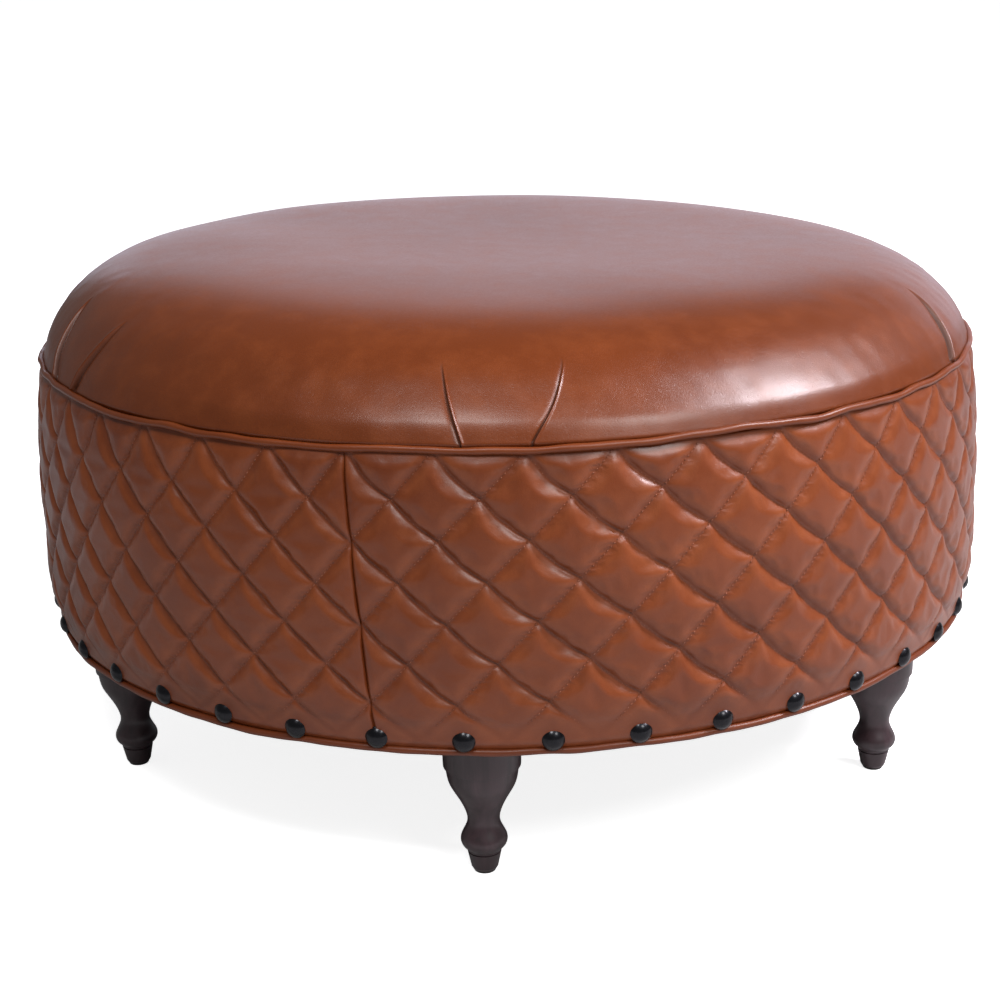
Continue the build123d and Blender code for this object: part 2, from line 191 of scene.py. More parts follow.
# ---------------------------------------------------------------- places from the frame
seam_low, seam_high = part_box("top_piping_leather")
PIPING_R = 0.86 * (seam_high.z - seam_low.z) / 2      # drawn tight round its cord
SEAM_Z = (seam_high.z + seam_low.z) / 2
SEAM_R = seam_high.x - PIPING_R
base_low, base_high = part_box("bottom_piping_leather")
BASE_Z = (base_high.z + base_low.z) / 2
BASE_R = base_high.x - PIPING_R
BAND_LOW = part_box("band_panel_1")[0].z
BAND_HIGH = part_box("band_panel_1")[1].z
SEAT_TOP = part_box("seat_cover")[1].z
SEAT_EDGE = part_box("seat_cover")[0].z
NAIL_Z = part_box("dome_nails")[0].z + NAIL_HEAD_R


# ---------------------------------------------------------------- camera, light and floor
def make_camera():
    a, p = math.radians(CAMERA_YAW), math.radians(CAMERA_PITCH)
    roll = math.radians(CAMERA_ROLL)
    forward = Vector((math.sin(a) * math.cos(p), math.cos(a) * math.cos(p), -math.sin(p)))
    right = Vector((math.cos(a), -math.sin(a), 0))
    down = -right.cross(forward)
    tilted_right = math.cos(roll) * right + math.sin(roll) * down
    tilted_down = -math.sin(roll) * right + math.cos(roll) * down
    axes = Matrix((tilted_right, -tilted_down, -forward)).transposed().to_4x4()
    place = Matrix.Translation((0, -CAMERA_DISTANCE, CAMERA_HEIGHT)) @ axes
    camera = bpy.data.objects.new("camera", bpy.data.cameras.new("camera"))
    camera.data.lens = CAMERA_LENS
    camera.data.sensor_width = 36
    camera.data.clip_start = 0.05
    camera.data.clip_end = 50
    camera.matrix_world = Matrix.Rotation(math.radians(CAMERA_AZIMUTH), 4, "Z") @ place
    bpy.context.scene.collection.objects.link(camera)
    bpy.context.scene.camera = camera


def area_light(name, location, target, width, height, power, colour):
    lamp = bpy.data.lights.new(name, "AREA")
    lamp.energy = power
    lamp.color = colour
    lamp.shape = "RECTANGLE"
    lamp.size = width
    lamp.size_y = height
    obj = bpy.data.objects.new(name, lamp)
    obj.location = location
    aim = Vector(target) - Vector(location)
    obj.rotation_mode = "QUATERNION"
    obj.rotation_quaternion = aim.to_track_quat("-Z", "Y")
    bpy.context.scene.collection.objects.link(obj)


def make_studio():
    """White seamless background, a low bright wall behind, and three softboxes."""
    bpy.context.scene.view_settings.view_transform = "Standard"
    world = bpy.data.worlds.new("studio")
    world.use_nodes = True
    nodes, links = world.node_tree.nodes, world.node_tree.links
    background = nodes["Background"]
    background.inputs["Color"].default_value = (1.0, 1.0, 1.0, 1)
    seen = nodes.new("ShaderNodeLightPath")
    strength = nodes.new("ShaderNodeMapRange")
    links.new(seen.outputs["Is Camera Ray"], strength.inputs["Value"])
    strength.inputs["To Min"].default_value = WORLD_LIGHT
    strength.inputs["To Max"].default_value = 1.0
    links.new(strength.outputs["Result"], background.inputs["Strength"])
    bpy.context.scene.world = world
    for light in STUDIO_LIGHTS:
        area_light(*light)
    corners = [(-FLOOR_REACH, -FLOOR_REACH, 0), (FLOOR_REACH, -FLOOR_REACH, 0),
               (FLOOR_REACH, FLOOR_REACH, 0), (-FLOOR_REACH, FLOOR_REACH, 0)]
    floor = new_mesh("floor", corners, [(0, 1, 2, 3)], smooth=False)
    material = bpy.data.materials.new("floor")
    material.use_nodes = True
    shader = material.node_tree.nodes["Principled BSDF"]
    shader.inputs["Roughness"].default_value = 0.8
    shader.inputs["Specular IOR Level"].default_value = 0.2
    shader.inputs["Emission Color"].default_value = (1, 1, 1, 1)
    seen = material.node_tree.nodes.new("ShaderNodeLightPath")
    for socket, unseen, shown in (("Base Color", FLOOR_TONE, 0.95), ("Emission Strength", 0.0, FLOOR_GLOW)):
        value = material.node_tree.nodes.new("ShaderNodeMapRange")
        material.node_tree.links.new(seen.outputs["Is Camera Ray"], value.inputs["Value"])
        value.inputs["To Min"].default_value = unseen
        value.inputs["To Max"].default_value = shown
        material.node_tree.links.new(value.outputs["Result"], shader.inputs[socket])
    floor.data.materials.append(material)


# ---------------------------------------------------------------- materials
class Nodes:
    """Short helpers for building a node material."""

    def __init__(self, name):
        self.material = bpy.data.materials.new(name)
        self.material.use_nodes = True
        self.tree = self.material.node_tree
        self.shader = self.tree.nodes["Principled BSDF"]
        self.coords = self.tree.nodes.new("ShaderNodeTexCoord").outputs["Object"]

    def add(self, kind, inputs=(), **settings):
        node = self.tree.nodes.new(kind)
        for key, value in settings.items():
            setattr(node, key, value)
        for key, value in dict(inputs).items():
            if isinstance(value, bpy.types.NodeSocket):
                self.tree.links.new(value, node.inputs[key])
            else:
                node.inputs[key].default_value = value
        return node

    def noise(self, scale, detail=4.0, rough=0.5, vector=None, distort=0.0):
        inputs = {"Vector": vector or self.coords, "Scale": scale, "Detail": detail, "Roughness": rough,
                  "Distortion": distort}
        return self.add("ShaderNodeTexNoise", inputs).outputs["Fac"]

    def cells(self, scale, feature="DISTANCE_TO_EDGE"):
        node = self.add("ShaderNodeTexVoronoi", {"Vector": self.coords, "Scale": scale}, feature=feature)
        return node.outputs["Distance"]

    def stretch(self, scale):
        node = self.add("ShaderNodeMapping", {"Vector": self.coords, "Scale": scale})
        return node.outputs["Vector"]

    def span(self, value, low, high, to_low=0.0, to_high=1.0):
        node = self.add("ShaderNodeMapRange", {"Value": value, "From Min": low, "From Max": high,
                                               "To Min": to_low, "To Max": to_high})
        return node.outputs["Result"]

    def math(self, operation, a, b):
        return self.add("ShaderNodeMath", {0: a, 1: b}, operation=operation).outputs["Value"]

    def mix(self, fac, a, b, blend="MIX"):
        node = self.tree.nodes.new("ShaderNodeMix")
        node.data_type = "RGBA"
        node.blend_type = blend
        for key, value in ((0, fac), (6, a), (7, b)):
            if isinstance(value, bpy.types.NodeSocket):
                self.tree.links.new(value, node.inputs[key])
            else:
                node.inputs[key].default_value = value
        return node.outputs[2]

    def colour(self, value):
        self.tree.links.new(value, self.shader.inputs["Base Color"])

    def roughness(self, value):
        self.tree.links.new(value, self.shader.inputs["Roughness"])

    def set(self, **values):
        for key, value in values.items():
            self.shader.inputs[key.replace("_", " ")].default_value = value

    def bump(self, *layers):
        """Each layer is (height, strength, distance)."""
        normal = None
        for height, strength, distance in layers:
            inputs = {"Height": height, "Strength": strength, "Distance": distance}
            if normal is not None:
                inputs["Normal"] = normal
            normal = self.add("ShaderNodeBump", inputs).outputs["Normal"]
        self.tree.links.new(normal, self.shader.inputs["Normal"])


def leather(name, dark, mid, light, rough, coat):
    """Aniline leather: cloudy dye, fine pebble grain, faint creases and slightly glossier high spots."""
    m = Nodes(name)
    cloud = m.noise(4.0, 2.0, 0.5, distort=0.4)
    mottle = m.noise(38.0, 5.0, 0.6)
    fine = m.noise(420.0, 3.0, 0.6)
    base = m.mix(m.span(cloud, 0.25, 0.75, 0.2, 0.8), dark, mid)
    base = m.mix(m.span(mottle, 0.45, 0.80, 0.0, 0.38), base, light)
    pores = m.cells(820.0)
    base = m.mix(m.span(pores, 0.0, 0.12, 0.35, 0.0), base, dark)
    # Painted shade: where the mesh's crease attribute marks a tuck's valley, the colour is mixed towards a
    # near-black copy of the dark leather, and the roughness is raised there.
    tuck_shade_mask = m.add("ShaderNodeAttribute", attribute_name="crease").outputs["Fac"]
    base = m.mix(m.span(tuck_shade_mask, 0.0, 1.0, 0.0, 0.72), base, [c * 0.2 for c in dark[:3]] + [1])
    m.colour(base)
    worn = m.span(mottle, 0.3, 0.7, rough - 0.02, rough + 0.03)
    polish = m.math("ADD", worn, m.span(fine, 0.3, 0.7, -0.03, 0.03))
    m.roughness(m.math("ADD", polish, m.span(tuck_shade_mask, 0.0, 1.0, 0.0, 0.5)))
    m.set(Specular_IOR_Level=0.38, Coat_Weight=coat, Coat_Roughness=0.24, IOR=1.5)
    crease = m.noise(95.0, 2.0, 0.5, distort=1.6)
    crease_line = m.span(m.math("ABSOLUTE", m.math("SUBTRACT", crease, 0.5), 0.0), 0.0, 0.02)
    m.bump((pores, 0.16, 0.0006), (fine, 0.10, 0.0006), (crease_line, 0.10, 0.0008),
           (cloud, 0.05, 0.006))
    return m.material


def wood(name, dark, light, rough, along, coat=0.0):
    """Wood with its grain along one axis: 0 for X, 2 for Z."""
    m = Nodes(name)
    scale = [90.0, 90.0, 90.0]
    scale[along] = 7.0
    fibres = m.noise(1.0, 6.0, 0.65, vector=m.stretch(scale), distort=0.6)
    rings = m.noise(1.0, 2.0, 0.5, vector=m.stretch([s * 0.22 for s in scale]), distort=1.2)
    base = m.mix(m.span(fibres, 0.3, 0.75), dark, light)
    base = m.mix(m.span(rings, 0.4, 0.7, 0.0, 0.5), base, dark)
    m.colour(base)
    m.roughness(m.span(fibres, 0.25, 0.75, rough + 0.06, rough - 0.05))
    m.set(Coat_Weight=coat, Coat_Roughness=0.3, Specular_IOR_Level=0.5)
    m.bump((fibres, 0.12, 0.0008), (rings, 0.08, 0.002))
    return m.material


def metal(name, colour, metallic, rough, coat=0.0):
    m = Nodes(name)
    smudge = m.noise(160.0, 3.0, 0.6)
    wear = m.noise(900.0, 2.0, 0.5)
    worn = tuple(min(1.0, c * 1.6 + 0.01) for c in colour[:3]) + (1,)
    m.colour(m.mix(m.span(wear, 0.55, 0.75, 0.0, 0.5), colour, worn))
    m.roughness(m.span(smudge, 0.3, 0.7, rough - 0.06, rough + 0.08))
    m.set(Metallic=metallic, Coat_Weight=coat, Coat_Roughness=0.08)
    m.bump((wear, 0.05, 0.0004),)
    return m.material


def woven(name, dark, light, pitch, rough=0.9):
    """Plain weave: over-and-under threads along X and Y."""
    m = Nodes(name)
    threads = {"Vector": m.coords, "Scale": 1 / (20 * pitch), "Distortion": 0.3}
    across = m.add("ShaderNodeTexWave", threads, bands_direction="X")
    along = m.add("ShaderNodeTexWave", threads, bands_direction="Y")
    weave = m.math("MULTIPLY", across.outputs["Fac"], along.outputs["Fac"])
    slub = m.noise(60.0, 4.0, 0.6)
    base = m.mix(m.span(weave, 0.0, 0.7), dark, light)
    m.colour(m.mix(m.span(slub, 0.4, 0.7, 0.0, 0.5), base, dark))
    m.roughness(m.span(slub, 0.2, 0.8, rough - 0.08, rough + 0.05))
    m.bump((weave, 0.5, 0.0006), (slub, 0.2, 0.001))
    return m.material


def fluffy(name, dark, light, pore_scale):
    """Foam or fibre fill: open pores and soft unevenness."""
    m = Nodes(name)
    pores = m.cells(pore_scale, "F1")
    lumps = m.noise(25.0, 4.0, 0.6)
    m.colour(m.mix(m.span(pores, 0.1, 0.7), dark, light))
    m.roughness(m.span(lumps, 0.2, 0.8, 0.86, 0.98))
    m.bump((pores, 0.5, 0.001), (lumps, 0.3, 0.004))
    return m.material


def quilted_leather(name, dark, mid, light, rough, coat):
    """Leather that follows the quilting: the mesh's quilt attribute holds the lattice coordinates."""
    m = Nodes(name)
    quilt = m.add("ShaderNodeAttribute", attribute_name="quilt").outputs["Vector"]
    u, v, depth = m.add("ShaderNodeSeparateXYZ", {0: quilt}).outputs
    rising = m.math("PINGPONG", m.math("ADD", u, v), 1.0)
    falling = m.math("PINGPONG", m.math("SUBTRACT", u, v), 1.0)
    near = m.math("MINIMUM", rising, falling)
    cloud = m.noise(6.0, 3.0, 0.55, distort=0.4)
    mottle = m.noise(45.0, 5.0, 0.62)
    fine = m.noise(420.0, 3.0, 0.6)
    pores = m.cells(820.0)
    base = m.mix(m.span(cloud, 0.32, 0.68), dark, mid)
    base = m.mix(m.span(mottle, 0.45, 0.78, 0.0, 0.35), base, light)
    # Painted highlight: a lighter colour, patchy with the mottle, on the rolled edges beside every groove.
    painted_edge_sheen = m.math("MULTIPLY", m.span(near, 0.05, 0.22), m.span(near, 0.55, 0.25))
    base = m.mix(m.math("MULTIPLY", painted_edge_sheen, m.span(mottle, 0.3, 0.6, 0.1, 0.45)), base, light)
    # Painted shade: darker lines along the grooves, stronger on the falling lines, fading out where the
    # quilting fades.
    shade = [c * 0.6 for c in dark[:3]] + [1]
    lines = m.math("ADD", m.span(falling, 0.05, 0.0, 0.0, 0.35), m.span(rising, 0.05, 0.0, 0.0, 0.2))
    base = m.mix(m.math("MULTIPLY", lines, depth), base, shade)
    base = m.mix(m.span(pores, 0.0, 0.12, 0.3, 0.0), base, dark)
    m.colour(base)
    m.roughness(m.math("ADD", m.span(mottle, 0.3, 0.7, rough - 0.03, rough + 0.05),
                       m.span(near, 0.0, 0.15, 0.08, 0.0)))
    m.set(Specular_IOR_Level=0.38, Coat_Weight=coat, Coat_Roughness=0.24, IOR=1.5)
    warp = m.noise(70.0, 3.0, 0.6)
    steps = m.math("ADD", m.math("MULTIPLY", v, 2 * math.pi * 6.0), m.math("MULTIPLY", warp, 18.0))
    patchy = m.math("MULTIPLY", m.span(rising, 0.24, 0.02), m.span(m.noise(32.0, 2.0), 0.32, 0.60))
    pucker = m.math("MULTIPLY", m.math("SINE", steps, 0.0), m.math("MULTIPLY", patchy, depth))
    crease = m.noise(95.0, 2.0, 0.5, distort=1.6)
    crease_line = m.span(m.math("ABSOLUTE", m.math("SUBTRACT", crease, 0.5), 0.0), 0.0, 0.02)
    m.bump((pucker, 0.22, 0.0009), (pores, 0.16, 0.0006), (fine, 0.10, 0.0006), (crease_line, 0.08, 0.0008),
           (mottle, 0.05, 0.002))
    return m.material


def thread(name, colour, pale):
    m = Nodes(name)
    twist = m.add("ShaderNodeTexWave", {"Vector": m.coords, "Scale": 700.0, "Distortion": 1.0},
                  bands_direction="DIAGONAL").outputs["Fac"]
    wear = m.noise(60.0, 3.0, 0.6)
    m.colour(m.mix(m.span(wear, 0.35, 0.7), colour, pale))
    m.roughness(m.span(twist, 0.0, 1.0, 0.5, 0.7))
    m.bump((twist, 0.4, 0.0003))
    return m.material


def dress(obj, material, replaced=()):
    obj.data.materials.clear()
    obj.data.materials.append(material)
    if replaced:
        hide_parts(*replaced)
    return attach(obj, "root")


# ---------------------------------------------------------------- quilted band
def wall_radius(height):
    t = (height - BAND_LOW) / (BAND_HIGH - BAND_LOW)
    above = height - NAIL_Z - BELLY_RISE
    belly = BAND_BELLY * np.exp(-(above / np.where(above < 0, *BELLY_SPREAD)) ** 2)
    return BAND_BOTTOM_R - BAND_EDGE_DROP * t + BAND_BULGE * 4 * t * (1 - t) + belly


def rounded(share):
    """0 in a groove, rising steeply and then flat towards 1."""
    return 1 - (1 - np.clip(share, 0, 1)) ** PUFF_POWER


def off_line(across):
    """Distance from the nearest quilting line: 0 on it and 0.5 halfway to the next."""
    return np.abs(across / 2 - np.round(across / 2))


class Band:
    """One quilted panel: lattice coordinates u (across) and v (down) to points on the leather."""

    def __init__(self, number):
        self.number = number
        self.half = HALF_DIAMOND[number]
        self.scallop = SCALLOP[number]
        self.groove = GROOVE[number]
        self.rising_groove = RISING_GROOVE[number]
        self.crescent = CRESCENT[number]
        self.span = 360.0 / PANELS / self.half
        self.start = SEAM_AZIMUTH + 360.0 / PANELS * number
        self.anchor = self.span if number == PANELS - 1 else 0.0
        self.top = (0.0015 - FIRST_ROW_DEPTH) / ROW
        self.low = (SEAM_Z - BASE_Z - 0.0010 - FIRST_ROW_DEPTH) / ROW
        self.fullness = rng.normal(1.0, 0.10, (64, 64))
        self.drift = Waves(9.0), Waves(7.0)
        self.crumple = Waves(0.55)

    def place(self, u, v):
        """Azimuth and height of a lattice point; the falling lines bow down between their crossings."""
        along = (u - self.anchor + v) / 2
        along = along - np.floor(along)
        inside = smooth_step(v, self.top, 0.4) * (1 - smooth_step(v, 5.9, 6.6))
        inside = inside * smooth_step(u, 0.0, 0.4) * smooth_step(self.span - u, 0.0, 0.4)
        bow = self.scallop * 4 * along * (1 - along) * inside
        u, v = u - bow, v + bow
        azimuth = self.start + SEAM_SLANT * v + self.half * u
        mean, swing, lowest = ROW_SAG
        sag = mean + swing * np.cos(np.radians(2 * (azimuth + lowest)))
        window = smooth_step(v, 0.0, 0.9) * (1 - smooth_step(v, 6.2, self.low))
        inner = smooth_step(u, 0.0, 1.5) * smooth_step(self.span - u, 0.0, 1.5)
        azimuth = azimuth + 0.13 * inner * window * self.drift[0](u, v)
        height = SEAM_Z - FIRST_ROW_DEPTH - ROW * v - window * (sag + 0.0010 * self.drift[1](u, v))
        return azimuth, height

    def relief(self, u, v, height):
        """How far the leather stands outside the plain wall."""
        a = u - self.anchor
        rising, falling = (a + v) / 2, (a - v) / 2
        near_rising, near_falling = 2 * off_line(a + v), 2 * off_line(a - v)
        edge = np.minimum(u, self.span - u) * math.radians(self.half) * BAND_MEAN_R
        fullness = self.fullness[np.floor(rising).astype(int) % 64, np.floor(falling).astype(int) % 64]
        falling_roll = 0.50 + self.crescent * near_rising * (2 - near_rising)
        rising_roll = 0.70 + 0.5 * self.crescent * near_falling * (2 - near_falling)
        rising_dip = self.rising_groove * (1 - rounded(near_rising / rising_roll))
        pillow = (1 - rising_dip) * rounded(near_falling / falling_roll)
        pillow = pillow * (1 - SEAM_DIP * (1 - rounded(edge / SEAM_PUFF_WIDTH)))
        fade = smooth_step(height, *QUILT_FADE)
        relief = -self.groove + (self.groove + PUFF * fullness) * pillow
        relief = relief * fade + (1 - fade) * 0.0009
        relief = relief + 0.00028 * self.crumple(u, v) * (1 - pillow) * fade
        sewn = 1 - smooth_step(BAND_HIGH - height, -0.0010, 0.0085)
        relief = relief * (1 - sewn) - 0.0026 * sewn
        relief = relief - 0.0024 * (1 - smooth_step(height - BAND_LOW, 0.0, 0.0045))
        seam = 1 - smooth_step(edge, 0.0, 0.0022)
        return relief - 0.0010 * seam - 0.0020 * seam * (1 - fade), fade

    def point(self, u, v):
        azimuth, height = self.place(u, v)
        relief, fade = self.relief(u, v, height)
        return azimuth_point(azimuth, wall_radius(height) + relief, height), fade


def simulate_leather(obj, pinned, pressure, slack, cap):
    """Cloth simulation of padded leather held at its stitches; no point moves further than the cap."""
    count = len(obj.data.vertices)
    before = np.zeros(count * 3)
    obj.data.vertices.foreach_get("co", before)
    group = obj.vertex_groups.new(name="pin")
    group.add(np.nonzero(pinned)[0].tolist(), 1.0, "REPLACE")
    cloth = obj.modifiers.new("cloth", "CLOTH")
    settings = cloth.settings
    settings.quality = 5
    settings.mass = 0.25
    settings.tension_stiffness = settings.compression_stiffness = 20
    settings.shear_stiffness = 8
    settings.bending_stiffness = 1.5
    settings.air_damping = 1.5
    settings.shrink_min = -slack
    settings.use_pressure = True
    settings.uniform_pressure_force = pressure
    settings.vertex_group_mass = "pin"
    settings.effector_weights.gravity = 0
    cloth.collision_settings.use_collision = False
    cloth.point_cache.frame_end = CLOTH_FRAMES
    scene = bpy.context.scene
    for frame_number in range(1, CLOTH_FRAMES + 1):
        scene.frame_set(frame_number)
    evaluated = obj.evaluated_get(bpy.context.evaluated_depsgraph_get())
    after = np.zeros(count * 3)
    evaluated.data.vertices.foreach_get("co", after)
    before, after = before.reshape(-1, 3), after.reshape(-1, 3)
    move = np.nan_to_num(after - before)
    length = np.linalg.norm(move, axis=1, keepdims=True)
    move *= np.minimum(1, cap / np.maximum(length, 1e-9))
    obj.modifiers.remove(cloth)
    obj.vertex_groups.remove(group)
    obj.data.vertices.foreach_set("co", (before + move).ravel())
    obj.data.update()
    scene.frame_set(1)


def make_panel(band, material):
    n = int(band.span * CELLS)
    whole = np.arange(1, n) / CELLS
    if band.anchor:
        whole = band.span - whole[::-1]
    whole = whole[(whole > 0.07) & (whole < band.span - 0.07)]
    u = np.concatenate([PANEL_END_STEPS, whole, band.span - PANEL_END_STEPS[::-1]])
    first_row, last_row = math.ceil((band.top + 0.02) * CELLS), math.floor((band.low - 0.02) * CELLS)
    rows = np.arange(first_row, last_row + 1) / CELLS
    rows = rows[rows > band.top + 0.03]
    v = np.concatenate([[band.top, band.top + 0.03], rows[rows > band.top + 0.06], [band.low]])
    uu, vv = np.meshgrid(u, v)
    front, fade = band.point(uu, vv)
    count_u, count_v = len(u), len(v)
    back_v = np.linspace(band.top, band.low, 30)
    ub, vb = np.meshgrid(u, back_v)
    azimuth, height = band.place(ub, vb)
    back = azimuth_point(azimuth, wall_radius(height) - BAND_THICKNESS, height)

    faces = []
    i, j = np.meshgrid(np.arange(count_v - 1), np.arange(count_u - 1), indexing="ij")
    a, b = i * count_u + j, i * count_u + j + 1
    c, d = a + count_u, b + count_u
    mid_u, mid_v = (u[j] + u[j + 1]) / 2 - band.anchor, (v[i] + v[i + 1]) / 2
    rise = (off_line(mid_u + mid_v) < off_line(mid_u - mid_v)).ravel()
    a, b, c, d = (x.ravel() for x in (a, b, c, d))
    first = np.where(rise[:, None], np.stack([a, c, b], 1), np.stack([a, c, d], 1))
    second = np.where(rise[:, None], np.stack([b, c, d], 1), np.stack([a, d, b], 1))
    faces += first.tolist() + second.tolist()
    base = count_u * count_v
    faces += grid_faces(len(back_v), count_u, base)
    last = base + (len(back_v) - 1) * count_u
    for k in range(count_u - 1):
        faces.append([k, k + 1, base + k + 1, base + k])
        low = (count_v - 1) * count_u + k
        faces.append([low + 1, low, last + k, last + k + 1])
    for column, turn in ((0, 1), (count_u - 1, -1)):
        side = [r * count_u + column for r in range(count_v)]
        side += [base + r * count_u + column for r in reversed(range(len(back_v)))]
        faces.append(side[::-turn])
    name = f"quilted_panel_{band.number + 1}"
    obj = new_mesh(name, np.concatenate([front.reshape(-1, 3), back.reshape(-1, 3)]), faces)
    quilt = np.zeros((len(obj.data.vertices), 3), np.float32)
    quilt[:base, 0] = (uu - band.anchor).ravel()
    quilt[:base, 1] = vv.ravel()
    quilt[:base, 2] = fade.ravel()
    a = uu - band.anchor
    near = np.minimum(off_line(a + vv), off_line(a - vv))
    pinned = np.ones(len(obj.data.vertices), bool)
    held = (near < 0.02) | (fade < 0.3) | (vv < band.top + 0.12) | (uu < 0.06) | (uu > band.span - 0.06)
    pinned[:base] = held.ravel()
    simulate_leather(obj, pinned, CLOTH_PRESSURE, CLOTH_SLACK, CLOTH_CAP)
    attribute = obj.data.attributes.new("quilt", "FLOAT_VECTOR", "POINT")
    attribute.data.foreach_set("vector", quilt.ravel())
    dress(obj, material, [f"band_panel_{band.number + 1}"])


def make_stitches(band, material):
    """A row of short stitches along every quilting line of a panel."""
    step = STITCH_PITCH / STITCH_ROW_LENGTH
    u_all, v_all, sign_all = [], [], []
    for sign in (1, -1):
        for line in range(-40, 41):
            v = np.arange(band.top + 0.14, 6.6, step) + rng.uniform(-0.01, 0.01)
            u = band.anchor + 2 * line - sign * v
            keep = (u > 0.05) & (u < band.span - 0.05)
            u_all.append(u[keep])
            v_all.append(v[keep])
            sign_all.append(np.full(keep.sum(), sign))
    u, v, sign = (np.concatenate(x) for x in (u_all, v_all, sign_all))
    v = v + rng.uniform(-0.006, 0.006, len(v))
    u = u + rng.uniform(-0.004, 0.004, len(u))
    centre, fade = band.point(u, v)
    along = band.point(u - sign * 0.02, v + 0.02)[0] - band.point(u + sign * 0.02, v - 0.02)[0]
    along /= np.linalg.norm(along, axis=1, keepdims=True)
    outward = centre * (1, 1, 0)
    outward /= np.linalg.norm(outward, axis=1, keepdims=True)
    side = np.cross(along, outward)
    side /= np.linalg.norm(side, axis=1, keepdims=True)
    outward = np.cross(side, along)
    lift = centre + outward * np.where(sign > 0, RISING_STITCH_LIFT, FALLING_STITCH_LIFT)[:, None]
    corners = [lift - along * STITCH_LENGTH / 2 - outward * STITCH_SINK,
               lift + side * STITCH_R, lift + outward * STITCH_R,
               lift - side * STITCH_R, lift - outward * STITCH_R,
               lift + along * STITCH_LENGTH / 2 - outward * STITCH_SINK]
    keep = fade > 0.25
    points = np.stack(corners, axis=1)[keep].reshape(-1, 3)
    pattern = np.array([[0, 1, 2], [0, 2, 3], [0, 3, 4], [0, 4, 1],
                        [5, 2, 1], [5, 3, 2], [5, 4, 3], [5, 1, 4]])
    faces = (pattern[None] + 6 * np.arange(keep.sum())[:, None, None]).reshape(-1, 3)[:, ::-1].tolist()
    dress(new_mesh(f"stitches_{band.number + 1}", points, faces), material)


# ---------------------------------------------------------------- piping
def make_piping(name, radius, height, material, cord_material, node, wobble):
    """A leather tube with its sewing flange, and the cord inside it, on one slightly uneven line."""
    count = 720
    azimuth = np.linspace(0, 360, count, endpoint=False)
    a = np.radians(azimuth)
    out, up = np.zeros(count), np.zeros(count)
    for wave in range(3, 60):
        size = wobble / wave ** 0.75
        out += size * np.sin(wave * a + rng.uniform(0, 2 * math.pi)) * 0.5
        up += size * np.sin(wave * a + rng.uniform(0, 2 * math.pi))
    thick = 1 + 0.05 * np.sin(37 * a) * np.sin(5 * a + 1) + 0.04 * np.sin(83 * a)

    def tube(piece_name, profile, look, replaced):
        rings = [azimuth_point(azimuth, radius + out + r * thick, height + up + z * thick)
                 for r, z in profile]
        total = len(profile) * count
        faces = grid_faces(len(profile) + 1, count, closed=True)
        faces = [[index % total for index in face] for face in faces]
        dress(new_mesh(piece_name, np.stack(rings, axis=0), faces), look, [replaced])

    turn = np.radians(np.linspace(-152, 152, 14))
    leather_profile = [(PIPING_R * math.cos(t), PIPING_R * math.sin(t)) for t in turn]
    leather_profile += [(-PIPING_R - 0.0080, 0.0006), (-PIPING_R - 0.0080, -0.0006)]
    tube(name, leather_profile, material, f"{node}_leather")
    cord_r = PIPING_R * 0.6
    cord_turn = np.radians(np.linspace(0, 360, 10, endpoint=False))
    cord_profile = [(cord_r * math.cos(t), cord_r * math.sin(t)) for t in cord_turn]
    tube(f"{name}_cord", cord_profile, cord_material, f"{node}_cord")


# ---------------------------------------------------------------- seat
def tuck_azimuths():
    """Every tuck: its azimuth at the piping and which way it leans."""
    tucks = []
    for pair in range(TUCK_PAIRS):
        middle = TUCK_PAIR_AZIMUTH + 360.0 / TUCK_PAIRS * pair
        if pair != LONE_TUCK:
            tucks.append((middle - TUCK_SPREAD, -1))
        tucks.append((middle + TUCK_SPREAD, 1))
    return tucks


def seat_columns():
    """Azimuths of the mesh columns, close together at the tucks."""
    fine = np.arange(0, 360, 0.01)
    density = np.full(len(fine), 1 / 0.75)
    for azimuth, _ in tuck_azimuths():
        away = (fine - azimuth + 180) % 360 - 180
        density += 14.0 * np.exp(-(away / 0.32) ** 2) + 3.5 * np.exp(-(away / 1.2) ** 2)
    total = np.concatenate([[0], np.cumsum(density) * 0.01])
    count = int(round(total[-1]))
    return np.interp(np.arange(count) * total[-1] / count, total, np.append(fine, 360.0))


def seat_profile(inset=0.0, steps=110):
    """Radii, heights and distances along the leather from its sewn edge to the centre."""
    crown = SEAT_TOP - SEAM_Z - inset
    radius = SEAM_R - inset
    rise = (SEAT_EDGE - SEAM_Z) / crown
    share = 1 - (1 - rise) * np.linspace(1, 0, 4000) ** 9
    r = radius * (1 - share) ** (1 / CROWN_POWER)
    z = SEAM_Z + crown * share
    along = np.concatenate([[0], np.cumsum(np.hypot(np.diff(r), np.diff(z)))])
    spread = np.linspace(0, 1, steps)
    pick = along[-1] * (0.34 * spread + 0.66 * spread ** 3.2)
    return np.interp(pick, along, r), np.interp(pick, along, z), pick


def seat_settling(x, y, height):
    """How far the crown has settled: a shallow dish in the middle, lower on the right and at the front."""
    radius = np.hypot(x, y)
    lean = -SEAT_LEAN * (height - SEAM_Z) / SEAT_LEAN_HEIGHT * x / SEAM_R
    sunk = SEAT_DISH * np.exp(-(radius / SEAT_DISH_R) ** 2) + SEAT_FRONT_DROP * smooth_step(-y, 0.12, 0.43)
    return lean - sunk * smooth_step(height, SEAM_Z, SEAM_Z + 0.05)


